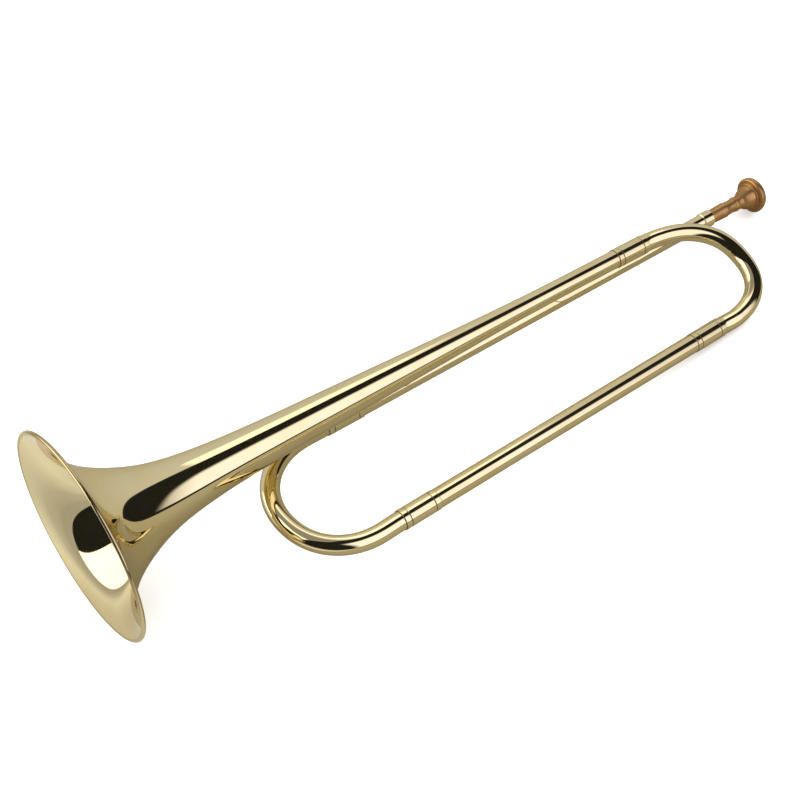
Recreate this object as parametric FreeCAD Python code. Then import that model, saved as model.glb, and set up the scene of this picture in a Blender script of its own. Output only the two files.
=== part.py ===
import FreeCAD, Part
import math
import os

# A single-loop brass bugle, built as its separate drawn, spun and turned pieces.
# Millimetres.  It is drawn in the horn's own axes:
#   origin  centre of the bell mouth
#   X       along the bell axis, from the mouth towards the mouthpiece
#   Y       in the plane of the loop, the lower tube being at negative Y
#   Z       across the loop, the leadpipe being at negative Z
# "Front" is the bell-mouth end (low X), "rear" the mouthpiece end (high X).
# It is then laid on a table: on the edge of the bell, the lower rear ferrule and
# the rim of the mouthpiece, with the bounding box centred on the origin and +Z up.

Vector = FreeCAD.Vector
ORIGIN = Vector(0, 0, 0)
X_AXIS = Vector(1, 0, 0)

# ------------------------------------------------------------------ dimensions
WALL = 0.60                  # wall of the drawn tubes
SOLDER_GAP = 0.02            # film between a sleeve and the tube inside it

# Ferrules: each is centred on the joint of two tubes
FERRULE_LENGTH = 26.6
FERRULE_R = 6.85
LEAD_FERRULE_R = 6.80
FERRULE_CHAMFER = 0.18
FERRULE_BAND = 4.0           # end to middle of groove
GROOVE_DEPTH = 0.28
GROOVE_WIDTH = 0.50          # at the surface
GROOVE_FLOOR = 0.35          # floor width over surface width
LOWER_FRONT_JOINT_X = 175.7
LOWER_REAR_JOINT_X = 425.0
BELL_JOINT_X = 419.0
LEAD_JOINT_X = 184.8

# Bell
BELL_R = 66.5                # outside of the rolled edge
BELL_WALL = 0.55
RIM_WIRE_R = 0.75            # wire inside the rolled edge
RIM_WIRE_GAP = 0.02
RIM_LAND = 0.04              # depth of the flat worn on the front of the rolled edge
RIM_CENTRE_X = RIM_WIRE_R + BELL_WALL - RIM_LAND
RIM_CENTRE_R = BELL_R - RIM_WIRE_R - BELL_WALL
EDGE_DIRECTION = Vector(-0.275, 0.961, 0)    # of the sheet where it meets the bead
BELL_END = (BELL_JOINT_X, 6.20)              # small end: x, outer radius
BELL_PROFILE = [             # (x, outer radius), mouth to small end
    (3.3, 56.6), (8.7, 46.3), (17.4, 37.3), (30.5, 29.4), (49.0, 22.1),
    (76.2, 16.9), (114.3, 13.75), (174.1, 11.35), (215.0, 9.9), (250.2, 8.62),
    (300.0, 7.10), (340.0, 6.30), (380.0, 6.20)]

# Lower tube: straight, slightly out of parallel with the bell
LOWER_R = 6.35
LOWER_FRONT = Vector(153.0, -85.3, 6.3)      # on its axis, start of the front bow
LOWER_REAR = Vector(435.2, -77.7, 0.0)       # on its axis, start of the rear bow

# Leadpipe: straight, tapering towards the mouthpiece
LEAD_FRONT = Vector(153.0, -0.1, -25.4)      # on its axis, end of the front bow
LEAD_REAR = Vector(467.0, 0.1, -16.0)        # on its axis
LEAD_FRONT_R = 6.10
LEAD_MOUTH_R = 5.35
LEAD_PARALLEL = 13.6         # untapered length at the front
LEAD_TAPER_END_X = 478.0
LEAD_MOUTH_X = 504.3

# Bows: half of a squared ellipse each
BOW_R = 6.15
BOW_STRAIGHT = FERRULE_LENGTH / 2 + 2.2      # straight run from each joint
FRONT_BOW = dict(depth=0.99, squareness=2.10, lean_y=-0.11, lean_z=0.02)
REAR_BOW = dict(depth=1.30, squareness=2.36, lean_y=-0.13, lean_z=0.15)

# Receiver collar on the mouth of the leadpipe
COLLAR_LENGTH = 8.6
COLLAR_R = 5.95
COLLAR_CHAMFER = 0.35

# Mouthpiece, and its socket in the leadpipe
SHANK_LENGTH = 23.3          # inside the leadpipe
SHANK_R = 4.97               # at the leadpipe's mouth
SHANK_TAPER = 0.026          # radius lost per millimetre
SHANK_CHAMFER = 0.25
SHANK_BORE_R = 3.70
SOCKET_CLEARANCE = 0.025
SOCKET_EXTRA_DEPTH = 1.0
SOCKET_LEAD_IN = 8.0         # length of the bore's last taper before the socket
LEAD_IN_R = 4.35             # bore at the start of that taper
SOCKET_FLOOR_R = 4.25        # bore at the bottom of the socket
MOUTHPIECE_LENGTH = 46.0     # from the leadpipe's mouth to the rim
RIM_R = 12.9
CUP_R = 8.35
THROAT_R = 1.85

# Stays between bell and leadpipe
STAY_XS = {"front_stay": 232.0, "rear_stay": 362.0}
POST_R = 1.9
WAIST_RING_R = POST_R + 1.1  # torus cut round the middle of the post
WAIST_R = 1.45
PAD_LENGTH = 13.0
PAD_WIDTH = 8.0
PAD_THICKNESS = 0.9
PAD_START = 0.35             # start of the pad's cutting prism, over the tube's radius
PAD_OVERSHOOT = 6.0          # extra length of that prism
PAD_SHELL_HALF = 12.0        # half length of the cylinder the pad is cut from
SEAT_GAP = 0.03              # between a pad and its tube
SEAT_HALF = 20.0             # half length of the cutters that seat the stay

# How it lies on the table
LAY_ROLL = 20.257            # degrees about X
LAY_PITCH = 4.285            # degrees about Y, mouthpiece end down
LAY_SHIFT = Vector(-271.818, 11.120, 66.421)


# --------------------------------------------------------------------- helpers
def unit(vector):
    result = Vector(vector)
    result.normalize()
    return result


def at_x(start, end, x):
    """Point at abscissa x on the line through start and end."""
    return start + (end - start) * ((x - start.x) / (end.x - start.x))


def put(shape, origin, direction):
    """Moves a shape drawn along +X from the origin to origin, along direction."""
    rotation = FreeCAD.Rotation(X_AXIS, unit(direction))
    return shape.transformed(FreeCAD.Placement(origin, rotation).toMatrix(), True)


def flat(points):
    return [Vector(x, y, 0) for x, y in points]


# lines, arc and spline take (x, radius) points and return a list of edges.
def lines(points):
    corners = flat(points)
    return [Part.makeLine(p, q) for p, q in zip(corners, corners[1:])]


def arc(points):
    return [Part.Arc(*flat(points)).toShape()]


def curve_through(points, **tangents):
    curve = Part.BSplineCurve()
    curve.interpolate(Points=points, **tangents)
    return curve


def spline(points):
    return [curve_through(flat(points)).toShape()]


def chain(start, steps):
    """Edges end to end; each step is a drawing function and the points it goes on to."""
    edges = []
    for draw, *points in steps:
        edges += draw([start] + points)
        start = points[-1]
    return edges


def turn(edges):
    """Solid of revolution about X of a closed profile in the XY half-plane."""
    return Part.Face(Part.Wire(edges)).revolve(ORIGIN, X_AXIS, 360)


def turn_polygon(points):
    return turn(lines(points + points[:1]))


# ----------------------------------------------------------- axes and joints
LOWER_DIRECTION = unit(LOWER_REAR - LOWER_FRONT)
LEAD_DIRECTION = unit(LEAD_REAR - LEAD_FRONT)
LOWER_FRONT_JOINT = at_x(LOWER_FRONT, LOWER_REAR, LOWER_FRONT_JOINT_X)
LOWER_REAR_JOINT = at_x(LOWER_FRONT, LOWER_REAR, LOWER_REAR_JOINT_X)
BELL_JOINT = Vector(BELL_JOINT_X, 0, 0)
LEAD_JOINT = at_x(LEAD_FRONT, LEAD_REAR, LEAD_JOINT_X)
LEAD_MOUTH = at_x(LEAD_FRONT, LEAD_REAR, LEAD_MOUTH_X)


# ------------------------------------------------------------------------ bell
def offset(points, distance):
    """Points moved sideways, to the left of the direction of travel."""
    moved = []
    last = len(points) - 1
    for i, (x, y) in enumerate(points):
        before = points[max(i - 1, 0)]
        after = points[min(i + 1, last)]
        dx = after[0] - before[0]
        dy = after[1] - before[1]
        step = distance / math.hypot(dx, dy)
        moved.append((x - dy * step, y + dx * step))
    return moved


def rim_torus(radius):
    """Ring inside the rolled edge, with a section of the given radius."""
    return Part.makeTorus(RIM_CENTRE_R, radius, Vector(RIM_CENTRE_X, 0, 0), X_AXIS)


def bell_outline():
    """Outer (x, radius) points, from the small end to a little way round the bead."""
    arrival = unit(EDGE_DIRECTION)
    to_mouth = Vector(-arrival.y, arrival.x, 0)
    # The sheet's outer surface meets the wire on its front.
    end = Vector(RIM_CENTRE_X, RIM_CENTRE_R, 0) + to_mouth * RIM_WIRE_R
    curve = curve_through(flat([BELL_END] + BELL_PROFILE[::-1]) + [end],
                          InitialTangent=X_AXIS * -1.0, FinalTangent=arrival)
    length = curve.length()
    steps = 140
    outline = []
    for i in range(steps + 1):
        # Points crowd towards the flare, where the curve bends most.
        fraction = 1.0 - (1.0 - i / steps) ** 2
        point = curve.value(curve.parameterAtDistance(length * fraction))
        outline.append((point.x, point.y))
    # Follow the wire, so that sheet and bead share metal.
    meeting_angle = math.atan2(to_mouth.y, to_mouth.x)
    for k in range(1, 7):
        angle = meeting_angle - math.radians(7.0 * k)
        outline.append((RIM_CENTRE_X + RIM_WIRE_R * math.cos(angle),
                        RIM_CENTRE_R + RIM_WIRE_R * math.sin(angle)))
    return outline


def make_bell():
    outer = bell_outline()
    inner = offset(outer, BELL_WALL)
    inner[0] = (BELL_END[0], BELL_END[1] - BELL_WALL)    # square end
    sheet = turn(spline(outer) + lines([outer[-1], inner[-1]])
                 + spline(inner[::-1]) + lines([inner[0], outer[0]]))
    bead = rim_torus(RIM_WIRE_R + BELL_WALL)
    body = sheet.fuse(bead).cut(rim_torus(RIM_WIRE_R + RIM_WIRE_GAP))
    # Narrow flat on the front of the edge
    return body.cut(Part.makeCylinder(BELL_R + 5, 5, Vector(-5, 0, 0), X_AXIS))


# --------------------------------------------------------------- tubes and bows
def make_lower_tube():
    run = LOWER_REAR_JOINT - LOWER_FRONT_JOINT
    bore = LOWER_R - WALL
    tube = turn_polygon([(0, bore), (run.Length, bore), (run.Length, LOWER_R), (0, LOWER_R)])
    return put(tube, LOWER_FRONT_JOINT, run)


def bend_points(start, end, ahead, depth, squareness, lean_y, lean_z):
    """Half of a squared ellipse from start to end, bulging ahead, without its end points.

    Depth and leans are fractions of the half width.
    """
    middle = (start + end) * 0.5
    half = (start - end) * 0.5
    width = half.Length
    bulge = ahead * (width * depth) + Vector(0, lean_y * width, lean_z * width)
    power = 2.0 / squareness
    steps = 36
    points = []
    for i in range(2, steps - 1):    # two points left out at each end
        angle = math.pi * i / steps
        cosine = math.cos(angle)
        across = math.copysign(abs(cosine) ** power, cosine)
        points.append(middle + half * across + bulge * math.sin(angle) ** power)
    return points


def straight_run(start, direction):
    """Points close enough to hold a curve through them straight."""
    return [start + direction * (BOW_STRAIGHT * i / 6) for i in range(7)]


def bow_tube(start, start_direction, bend, end, end_direction):
    """Tube from start to end, leaving each joint straight along its direction."""
    points = straight_run(start, start_direction) + bend
    points += straight_run(end, end_direction)[::-1]
    curve = curve_through(points, InitialTangent=unit(start_direction),
                          FinalTangent=unit(end_direction * -1.0))
    path = Part.Wire([curve.toShape()])

    def pipe(radius):
        ring = Part.Wire([Part.makeCircle(radius, start, unit(start_direction))])
        return path.makePipeShell([ring], True, False)

    return pipe(BOW_R).cut(pipe(BOW_R - WALL))


def make_front_bow():
    bend = bend_points(LOWER_FRONT, LEAD_FRONT, X_AXIS * -1.0, **FRONT_BOW)
    return bow_tube(LOWER_FRONT_JOINT, LOWER_DIRECTION * -1.0, bend,
                    LEAD_JOINT, LEAD_DIRECTION * -1.0)


def make_rear_bow():
    bend = bend_points(LOWER_REAR, Vector(LOWER_REAR.x, 0, 0), X_AXIS, **REAR_BOW)
    # Leave out points too near the lower straight run for a smooth curve.
    clear_x = LOWER_REAR_JOINT_X + BOW_STRAIGHT + 8.0
    bend = [p for p in bend if p.x > clear_x or abs(p.y) < 30]
    return bow_tube(LOWER_REAR_JOINT, LOWER_DIRECTION, bend, BELL_JOINT, X_AXIS)


def make_leadpipe():
    """Starts at its ferrule's middle; the mouthpiece socket is at the rear end."""
    length = (LEAD_MOUTH - LEAD_JOINT).Length
    taper_end = (at_x(LEAD_FRONT, LEAD_REAR, LEAD_TAPER_END_X) - LEAD_JOINT).Length
    socket_depth = SHANK_LENGTH + SOCKET_EXTRA_DEPTH
    socket_start = length - socket_depth
    socket_r = SHANK_R + SOCKET_CLEARANCE
    pipe = turn_polygon([
        (0, LEAD_FRONT_R - WALL), (socket_start - SOCKET_LEAD_IN, LEAD_IN_R),
        (socket_start, SOCKET_FLOOR_R), (socket_start, socket_r - SHANK_TAPER * socket_depth),
        (length, socket_r), (length, LEAD_MOUTH_R), (taper_end, LEAD_MOUTH_R),
        (LEAD_PARALLEL, LEAD_FRONT_R), (0, LEAD_FRONT_R)])
    return put(pipe, LEAD_JOINT, LEAD_DIRECTION)


# -------------------------------------------------------- ferrules and collar
def make_ferrule(joint, direction, front_tube_r, rear_tube_r, radius=FERRULE_R):
    """Sleeve centred on a joint, stepped inside, with a turned groove near each end."""
    half = FERRULE_LENGTH / 2
    front_bore = front_tube_r + SOLDER_GAP
    rear_bore = rear_tube_r + SOLDER_GAP
    edge = GROOVE_WIDTH / 2
    floor = edge * GROOVE_FLOOR
    points = [(-half, front_bore), (-half, radius - FERRULE_CHAMFER),
              (-half + FERRULE_CHAMFER, radius)]
    for groove in (FERRULE_BAND - half, half - FERRULE_BAND):
        points += [(groove - edge, radius), (groove - floor, radius - GROOVE_DEPTH),
                   (groove + floor, radius - GROOVE_DEPTH), (groove + edge, radius)]
    points += [(half - FERRULE_CHAMFER, radius), (half, radius - FERRULE_CHAMFER),
               (half, rear_bore), (0, rear_bore), (0, front_bore)]
    return put(turn_polygon(points), joint, direction)


def make_collar():
    bore = LEAD_MOUTH_R + SOLDER_GAP
    shoulder = COLLAR_R - COLLAR_CHAMFER
    collar = turn_polygon([
        (-COLLAR_LENGTH, bore), (-COLLAR_LENGTH, shoulder),
        (-COLLAR_LENGTH + COLLAR_CHAMFER, COLLAR_R), (-COLLAR_CHAMFER, COLLAR_R),
        (0.0, shoulder), (0.0, bore)])
    return put(collar, LEAD_MOUTH, LEAD_DIRECTION)


# ------------------------------------------------------------------ mouthpiece
def make_mouthpiece():
    """Turned in one piece; x = 0 is the mouth of the leadpipe."""
    tip = -SHANK_LENGTH
    tip_r = SHANK_R - SHANK_TAPER * SHANK_LENGTH
    face = MOUTHPIECE_LENGTH
    start = (tip, tip_r - SHANK_CHAMFER)
    edges = chain(start, [
        # shank inside the leadpipe, and the bare taper behind it
        (lines, (tip + SHANK_CHAMFER, tip_r), (0.0, SHANK_R), (1.5, SHANK_R + 0.04)),
        # swelling barrel, ending in a soft shoulder
        (spline, (5.0, 5.13), (9.5, 5.36), (13.6, 5.46)),
        (arc, (14.25, 5.42), (14.7, 5.22)),
        # narrow neck
        (spline, (16.6, 4.98), (19.6, 4.83), (22.6, 4.84)),
        # bead
        (lines, (22.8, 5.02)),
        (arc, (24.6, 5.36), (26.4, 5.06)),
        (lines, (26.7, 4.86)),
        # finer bead against the bowl
        (arc, (27.4, 5.05), (28.1, 4.90)),
        # bowl
        (spline, (29.3, 5.25), (31.2, 6.35), (33.6, 7.55), (36.2, 8.35), (38.6, 8.75)),
        # narrow collar
        (lines, (38.6, 9.55)),
        (arc, (39.1, 9.95), (39.75, 9.95)),
        # step up to the rim, and its outside
        (lines, (39.95, 10.05), (39.95, 11.45)),
        (arc, (40.55, 12.55), (42.0, RIM_R)),
        (arc, (44.6, 12.2), (face, 10.9)),
        # face of the rim and its bite
        (arc, (face + 0.25, 10.1), (face - 0.1, 9.3)),
        (arc, (face - 0.85, 8.62), (face - 2.0, CUP_R)),
        # cup, throat and backbore
        (spline, (face - 6.0, 7.95), (face - 9.5, 6.7), (face - 12.4, 4.4),
         (face - 14.2, 2.6), (face - 15.6, THROAT_R)),
        (lines, (face - 20.0, THROAT_R), (tip, SHANK_BORE_R), start),
    ])
    return put(turn(edges), LEAD_MOUTH, LEAD_DIRECTION)


# ----------------------------------------------------------------------- stays
def lead_radius(x, taper_start_x):
    """Leadpipe's outer radius at x, for a taper starting at taper_start_x."""
    fraction = (x - taper_start_x) / (LEAD_TAPER_END_X - taper_start_x)
    return LEAD_FRONT_R + (LEAD_MOUTH_R - LEAD_FRONT_R) * fraction


def bell_radius(x):
    """Bell's outer radius at x, straight between the profile's points."""
    for (x0, r0), (x1, r1) in zip(BELL_PROFILE, BELL_PROFILE[1:]):
        if x0 <= x <= x1:
            return r0 + (r1 - r0) * (x - x0) / (x1 - x0)


def bell_cutter(x):
    """The bell's outside near x, enlarged by the seat gap, as a solid."""
    curve = curve_through(flat(BELL_PROFILE + [BELL_END]))
    outline = []
    for i in range(21):
        station = x - SEAT_HALF + SEAT_HALF / 10 * i
        # Find the station on the curve by bisection.
        low, high = curve.FirstParameter, curve.LastParameter
        for _ in range(50):
            middle = 0.5 * (low + high)
            if curve.value(middle).x < station:
                low = middle
            else:
                high = middle
        outline.append((station, curve.value(low).y + SEAT_GAP))
    first, last = outline[0], outline[-1]
    return turn(spline(outline) + lines([last, (last[0], 0), (first[0], 0), first]))


def lead_cutter(x):
    """The leadpipe's outside near x, enlarged by the seat gap."""
    taper_start_x = LEAD_JOINT_X + LEAD_PARALLEL
    start = at_x(LEAD_FRONT, LEAD_REAR, x - SEAT_HALF)
    end = at_x(LEAD_FRONT, LEAD_REAR, x + SEAT_HALF)
    return Part.makeCone(lead_radius(x - SEAT_HALF, taper_start_x) + SEAT_GAP,
                         lead_radius(x + SEAT_HALF, taper_start_x) + SEAT_GAP,
                         (end - start).Length, start, LEAD_DIRECTION)


def saddle_pad(centre, along, side, tube_r):
    """Oval pad on the given side of a tube, still solid down into the tube."""
    shell = Part.makeCylinder(tube_r + SEAT_GAP + PAD_THICKNESS, 2 * PAD_SHELL_HALF,
                              centre - along * PAD_SHELL_HALF, along)
    across = unit(along.cross(side))
    base = centre + side * (tube_r * PAD_START)
    oval = Part.Ellipse(ORIGIN, PAD_LENGTH / 2, PAD_WIDTH / 2).toShape()
    to_tube = FreeCAD.Matrix(along.x, across.x, side.x, base.x,
                             along.y, across.y, side.y, base.y,
                             along.z, across.z, side.z, base.z,
                             0, 0, 0, 1)
    face = Part.Face(Part.Wire([oval])).transformed(to_tube, True)
    return shell.common(face.extrude(side * (tube_r + PAD_OVERSHOOT)))


def make_stay(x):
    """Waisted post with a saddle pad on each tube."""
    on_lead = at_x(LEAD_FRONT, LEAD_REAR, x)
    on_bell = Vector(x, 0, 0)
    to_bell = unit(on_bell - on_lead)
    # The pads take the taper as starting at the joint, the seat cutter after the parallel part.
    lead_r = lead_radius(x, LEAD_JOINT_X)
    bell_r = bell_radius(x)
    post = Part.makeCylinder(POST_R, (on_bell - on_lead).Length, on_lead, to_bell)
    middle = (on_lead + to_bell * lead_r + on_bell - to_bell * bell_r) * 0.5
    post = post.cut(Part.makeTorus(WAIST_RING_R, WAIST_R, middle, to_bell))
    lead_pad = saddle_pad(on_lead, LEAD_DIRECTION, to_bell, lead_r)
    bell_pad = saddle_pad(on_bell, X_AXIS, to_bell * -1.0, bell_r)
    body = post.fuse(lead_pad).fuse(bell_pad)
    body = body.cut(bell_cutter(x)).cut(lead_cutter(x))
    # Keep the stay, not the offcuts inside the tubes.
    return max(body.Solids, key=lambda solid: solid.Volume)


# ----------------------------------------------------------- build and lay down
pieces = {
    "bell": make_bell(),
    "bell_rim_wire": rim_torus(RIM_WIRE_R),
    "lower_tube": make_lower_tube(),
    "front_bow": make_front_bow(),
    "rear_bow": make_rear_bow(),
    "lower_front_ferrule": make_ferrule(LOWER_FRONT_JOINT, LOWER_DIRECTION, BOW_R, LOWER_R),
    "lower_rear_ferrule": make_ferrule(LOWER_REAR_JOINT, LOWER_DIRECTION, LOWER_R, BOW_R),
    "bell_ferrule": make_ferrule(BELL_JOINT, X_AXIS, BELL_END[1], BOW_R),
    "leadpipe_ferrule": make_ferrule(LEAD_JOINT, LEAD_DIRECTION, BOW_R, LEAD_FRONT_R,
                                     LEAD_FERRULE_R),
    "leadpipe": make_leadpipe(),
    "receiver_collar": make_collar(),
    "mouthpiece": make_mouthpiece(),
}
for name, x in STAY_XS.items():
    pieces[name] = make_stay(x)

roll = FreeCAD.Rotation(X_AXIS, LAY_ROLL)
pitch = FreeCAD.Rotation(Vector(0, 1, 0), LAY_PITCH)
lay_down = FreeCAD.Placement(LAY_SHIFT, pitch.multiply(roll)).toMatrix()

os.makedirs("parts", exist_ok=True)
for name, shape in pieces.items():
    solids = shape.Solids
    piece = solids[0] if len(solids) == 1 else Part.makeCompound(solids)
    piece.transformed(lay_down, True).exportStep("parts/%s.step" % name)
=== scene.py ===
import math

import bmesh
import bpy
import numpy as np
from mathutils import Matrix, Vector


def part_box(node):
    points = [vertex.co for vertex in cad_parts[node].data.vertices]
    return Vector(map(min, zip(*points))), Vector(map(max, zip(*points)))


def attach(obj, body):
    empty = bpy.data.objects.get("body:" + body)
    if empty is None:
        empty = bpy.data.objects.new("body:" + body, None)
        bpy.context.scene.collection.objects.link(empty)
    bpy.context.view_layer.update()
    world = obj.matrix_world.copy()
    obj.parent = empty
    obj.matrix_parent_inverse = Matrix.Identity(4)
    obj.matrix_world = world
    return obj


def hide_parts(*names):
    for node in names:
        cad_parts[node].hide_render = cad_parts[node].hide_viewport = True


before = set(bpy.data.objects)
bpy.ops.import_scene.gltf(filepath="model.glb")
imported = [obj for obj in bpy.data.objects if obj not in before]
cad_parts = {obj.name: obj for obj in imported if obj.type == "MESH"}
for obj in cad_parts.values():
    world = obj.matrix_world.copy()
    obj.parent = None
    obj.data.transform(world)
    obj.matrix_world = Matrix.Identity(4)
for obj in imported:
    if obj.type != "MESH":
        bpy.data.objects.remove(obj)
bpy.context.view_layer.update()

# The bugle's pieces are rebuilt here as dense, evenly flowing meshes on the CAD
# dimensions (a mirror finish shows every facet), each checked against the box of
# the CAD node it stands for.

# ------------------------------------------------------------ horn axes -> row
# In the horn's own axes (mm): X along the bell from its mouth, Y in the plane of
# the loop, Z across it.  The row frame has it lying on a table.
LAY_ROLL, LAY_PITCH = math.radians(20.257), math.radians(4.285)
LAY_SHIFT = np.array([-271.818, 11.120, 66.421])


def rot_x(a):
    c, s = math.cos(a), math.sin(a)
    return np.array([[1, 0, 0], [0, c, -s], [0, s, c]])


def rot_y(a):
    c, s = math.cos(a), math.sin(a)
    return np.array([[c, 0, s], [0, 1, 0], [-s, 0, c]])


LAY = rot_y(LAY_PITCH) @ rot_x(LAY_ROLL)


def to_row(p):
    return (np.asarray(p, float) @ LAY.T + LAY_SHIFT) / 1000.0


def vec(*a):
    return np.array(a, float)


def unit(v):
    v = np.asarray(v, float)
    return v / np.linalg.norm(v)


# ------------------------------------------------------------------ dimensions
WALL, GAP = 0.60, 0.02
BELL_R, BELL_WALL, RIM_WIRE_R, RIM_LAND = 66.5, 0.55, 0.75, 0.04
BELL_END_X, BELL_END_R = 419.0, 6.20
BELL_PROFILE = [(3.3, 56.6), (8.7, 46.3), (17.4, 37.3), (30.5, 29.4), (49.0, 22.1),
                (76.2, 16.9), (114.3, 13.75), (174.1, 11.35), (215.0, 9.9), (250.2, 8.62),
                (300.0, 7.10), (340.0, 6.30), (380.0, 6.20)]
LOW_R = 6.35
LOW_A, LOW_B = vec(153.0, -85.3, 6.3), vec(435.2, -77.7, 0.0)
LEAD_A, LEAD_B = vec(153.0, -0.1, -25.4), vec(467.0, 0.1, -16.0)
LEAD_R0, LEAD_R1 = 6.10, 5.35
LEAD_TAPER_END, LEAD_MOUTH_X = 478.0, 504.3
BOW_R = 6.15
FRONT_DEPTH, FRONT_N, FRONT_LEAN_Y, FRONT_LEAN_Z = 0.99, 2.10, -0.11, 0.02
REAR_DEPTH, REAR_N, REAR_LEAN_Y, REAR_LEAN_Z = 1.30, 2.36, -0.13, 0.15
FER_R, FER_LEN, FER_BAND, FER_GROOVE_D, FER_GROOVE_W = 6.85, 26.6, 4.0, 0.28, 0.50
FRONT_LOW_FER_X, REAR_LOW_FER_X, BELL_FER_X, LEAD_FER_X, LEAD_FER_R = 175.7, 425.0, 419.0, 184.8, 6.80
COLLAR_LEN, COLLAR_R = 8.6, 5.95
MP_SHANK_IN, MP_SHANK_R, MP_TAPER, MP_FIT = 23.3, 4.97, 0.026, 0.025
MP_RIM_R, MP_THROAT_R, MP_CUP_R = 12.9, 1.85, 8.35
STAY_X, STAY_POST_R = (232.0, 362.0), 1.9


def at_x(a, b, x):
    return a + (b - a) * ((x - a[0]) / (b[0] - a[0]))


# --------------------------------------------------------------- curve helpers
class Spline:
    """Smooth cubic through points (any dimension), chord-length parameter, with given or free end tangents."""

    def __init__(self, pts, start=None, end=None):
        self.p = p = np.asarray(pts, float)
        n = len(p)
        self.t = t = np.r_[0, np.cumsum(np.linalg.norm(np.diff(p, axis=0), axis=1))]
        h = np.diff(t)
        A = np.zeros((n, n))
        b = np.zeros_like(p)
        for i in range(1, n - 1):
            A[i, i - 1], A[i, i], A[i, i + 1] = h[i], 2 * (h[i - 1] + h[i]), h[i - 1]
            b[i] = 3 * (h[i] * (p[i] - p[i - 1]) / h[i - 1] + h[i - 1] * (p[i + 1] - p[i]) / h[i])
        if start is None:
            A[0, 0], A[0, 1] = 2, 1
            b[0] = 3 * (p[1] - p[0]) / h[0]
        else:
            A[0, 0] = 1
            b[0] = unit(start)
        if end is None:
            A[-1, -1], A[-1, -2] = 2, 1
            b[-1] = 3 * (p[-1] - p[-2]) / h[-1]
        else:
            A[-1, -1] = 1
            b[-1] = unit(end)
        self.m = np.linalg.solve(A, b)

    def __call__(self, u, order=0):
        u = np.atleast_1d(np.asarray(u, float))
        i = np.clip(np.searchsorted(self.t, u, side="right") - 1, 0, len(self.t) - 2)
        h = (self.t[i + 1] - self.t[i])[:, None]
        s = (u - self.t[i])[:, None] / h
        p0, p1, m0, m1 = self.p[i], self.p[i + 1], self.m[i], self.m[i + 1]
        if order == 0:
            return (2 * s**3 - 3 * s**2 + 1) * p0 + (s**3 - 2 * s**2 + s) * h * m0 + (3 * s**2 - 2 * s**3) * p1 + (s**3 - s**2) * h * m1
        return ((6 * s**2 - 6 * s) * (p0 - p1) / h + (3 * s**2 - 4 * s + 1) * m0 + (3 * s**2 - 2 * s) * m1)

    def even(self, count, power=1.0):
        """count+1 points spaced evenly by length, or crowding towards the end with power above 1."""
        u = np.linspace(0, self.t[-1], 6000)
        q = self(u)
        L = np.r_[0, np.cumsum(np.linalg.norm(np.diff(q, axis=0), axis=1))]
        f = 1.0 - (1.0 - np.linspace(0, 1, count + 1)) ** power
        return self(np.interp(f * L[-1], L, u))


def arc3(p, m, q, n=10):
    """Circular arc through three points in the plane, n+1 points."""
    (ax, ay), (bx, by), (cx, cy) = p, m, q
    d = 2 * (ax * (by - cy) + bx * (cy - ay) + cx * (ay - by))
    ux = ((ax**2 + ay**2) * (by - cy) + (bx**2 + by**2) * (cy - ay) + (cx**2 + cy**2) * (ay - by)) / d
    uy = ((ax**2 + ay**2) * (cx - bx) + (bx**2 + by**2) * (ax - cx) + (cx**2 + cy**2) * (bx - ax)) / d
    r = math.hypot(ax - ux, ay - uy)
    a0, a1, a2 = (math.atan2(y - uy, x - ux) for x, y in (p, m, q))
    while a1 < a0: a1 += 2 * math.pi
    while a2 < a0: a2 += 2 * math.pi
    if a1 > a2: a2 -= 2 * math.pi
    return [(ux + r * math.cos(a), uy + r * math.sin(a)) for a in np.linspace(a0, a2, n + 1)]


def soften(points, r, n=3, hold=0.12):
    """Rounds every corner of a closed outline by r (one number, or one per corner), with a held loop on each side of the round."""
    out, pts = [], [np.array(p, float) for p in points]
    for i, p in enumerate(pts):
        ri = r[i] if isinstance(r, (list, tuple)) else r
        a, b = pts[i - 1], pts[(i + 1) % len(pts)]
        la, lb = np.linalg.norm(a - p), np.linalg.norm(b - p)
        ua, ub = (a - p) / la, (b - p) / lb
        turn_a = math.acos(max(-1, min(1, float(ua @ ub))))
        if ri <= 0 or turn_a > math.radians(178):
            out.append(tuple(p))
            continue
        d = min(ri / max(math.tan(turn_a / 2), 1e-6), 0.45 * la, 0.45 * lb)
        if la - d > 3 * hold:
            out.append(tuple(p + ua * (d + hold)))
        for k in range(n + 1):
            t = k / n
            out.append(tuple((1 - t)**2 * (p + ua * d) + 2 * t * (1 - t) * p + t * t * (p + ub * d)))
        if lb - d > 3 * hold:
            out.append(tuple(p + ub * (d + hold)))
    return out


# ---------------------------------------------------------------- mesh helpers
MADE = []


def mesh_from(name, verts, faces, node=None, body="horn", smooth=True):
    me = bpy.data.meshes.new(name)
    me.from_pydata([tuple(v) for v in verts], [], faces)
    me.validate()
    me.polygons.foreach_set("use_smooth", [smooth] * len(me.polygons))
    bm = bmesh.new()
    bm.from_mesh(me)
    bmesh.ops.recalc_face_normals(bm, faces=bm.faces)
    bm.to_mesh(me)
    bm.free()
    me.update()
    ob = bpy.data.objects.new(name, me)
    bpy.context.scene.collection.objects.link(ob)
    ob["made_as"] = node or name
    if node:
        lo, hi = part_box(node)
        co = np.asarray(verts, float)
        off = max(np.abs(co.min(0) - np.array(lo)).max(), np.abs(co.max(0) - np.array(hi)).max())
        print("FIT %-22s box off by %.3f mm" % (name, off * 1000))
        if off > 0.0004:
            raise RuntimeError("%s does not fit its CAD node" % name)
        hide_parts(node)
    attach(ob, body)
    MADE.append(ob)
    return ob


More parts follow.
